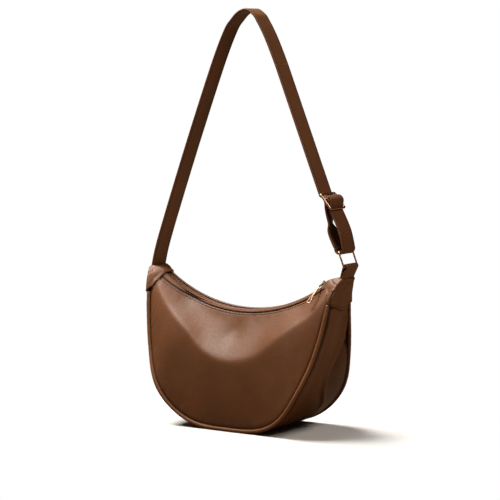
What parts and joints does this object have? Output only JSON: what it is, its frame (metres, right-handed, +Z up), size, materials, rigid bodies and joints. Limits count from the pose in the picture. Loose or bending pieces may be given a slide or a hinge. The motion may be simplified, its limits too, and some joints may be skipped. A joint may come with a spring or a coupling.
{
  "type": "crescent shoulder bag",
  "caption": "Soft leather crescent shoulder bag with piped seams, a curved top zip under horn caps, and a strap threaded through a sliding adjuster and a ring.",
  "frame": {"origin": "middle of the base, on the surface that the bag stands on", "axes": "+Z up along the strap, -Y out of the front panel, +X towards the adjuster's side"},
  "size_m": [0.2982, 0.1269, 0.5297],
  "materials": {
    "leather": "smooth satin brown leather with a very fine grain",
    "lining": "plain woven lining",
    "zip_tape": "woven tape",
    "zip_teeth": "moulded teeth in the tape's colour",
    "metal": "polished rose gold plating"
  },
  "bodies": {
    "bag": {"front_panel": "leather", "back_panel": "leather", "gusset": "leather", "front_piping": "leather", "back_piping": "leather", "left_horn_cap": "leather", "right_horn_cap": "leather", "lining": "lining", "slip_pocket": "lining", "zip_tape_front": "zip_tape", "zip_tape_back": "zip_tape", "zip_teeth_front": "zip_teeth", "zip_teeth_back": "zip_teeth", "zip_closed_stop_front": "metal", "zip_closed_stop_back": "metal", "zip_open_stop": "metal", "strap_left_base": "leather", "ring_tab": "leather"},
    "slider": {"zip_slider": "metal"},
    "pull": {"zip_pull": "metal"},
    "strap": {"strap_shoulder_loop": "leather", "strap_right_run": "leather", "strap_lower_loop": "leather"},
    "adjuster": {"strap_adjuster": "metal"},
    "ring": {"strap_ring": "metal"}
  },
  "joints": [
    {"name": "slider_travel", "type": "hinge", "parent": "bag", "child": "slider", "pos_m": [0, -0.0105, 0.36073], "axis": [0, 1, 0], "range_deg": [0, 67.6], "deforming": ["zip_teeth_front", "zip_teeth_back"]},
    {"name": "pull_swing", "type": "hinge", "parent": "slider", "child": "pull", "pos_m": [0.11398, -0.0105, 0.19079], "axis": [-0.8305, 0, -0.557], "range_deg": [0, 150]},
    {"name": "strap_swing", "type": "hinge", "parent": "bag", "child": "strap", "pos_m": [0, -0.004, 0.198], "axis": [1, 0, 0], "range_deg": [-80, 80], "deforming": ["strap_left_base", "ring_tab"]},
    {"name": "adjuster_slide", "type": "slide", "parent": "strap", "child": "adjuster", "axis": [-0.391, 0, 0.9204], "range_m": [0, 0.14], "deforming": ["strap_right_run", "strap_lower_loop"]},
    {"name": "ring_tilt", "type": "hinge", "parent": "strap", "child": "ring", "pos_m": [0.1482, -0.004, 0.213], "axis": [0, 1, 0], "range_deg": [-8, 8]}
  ]
}
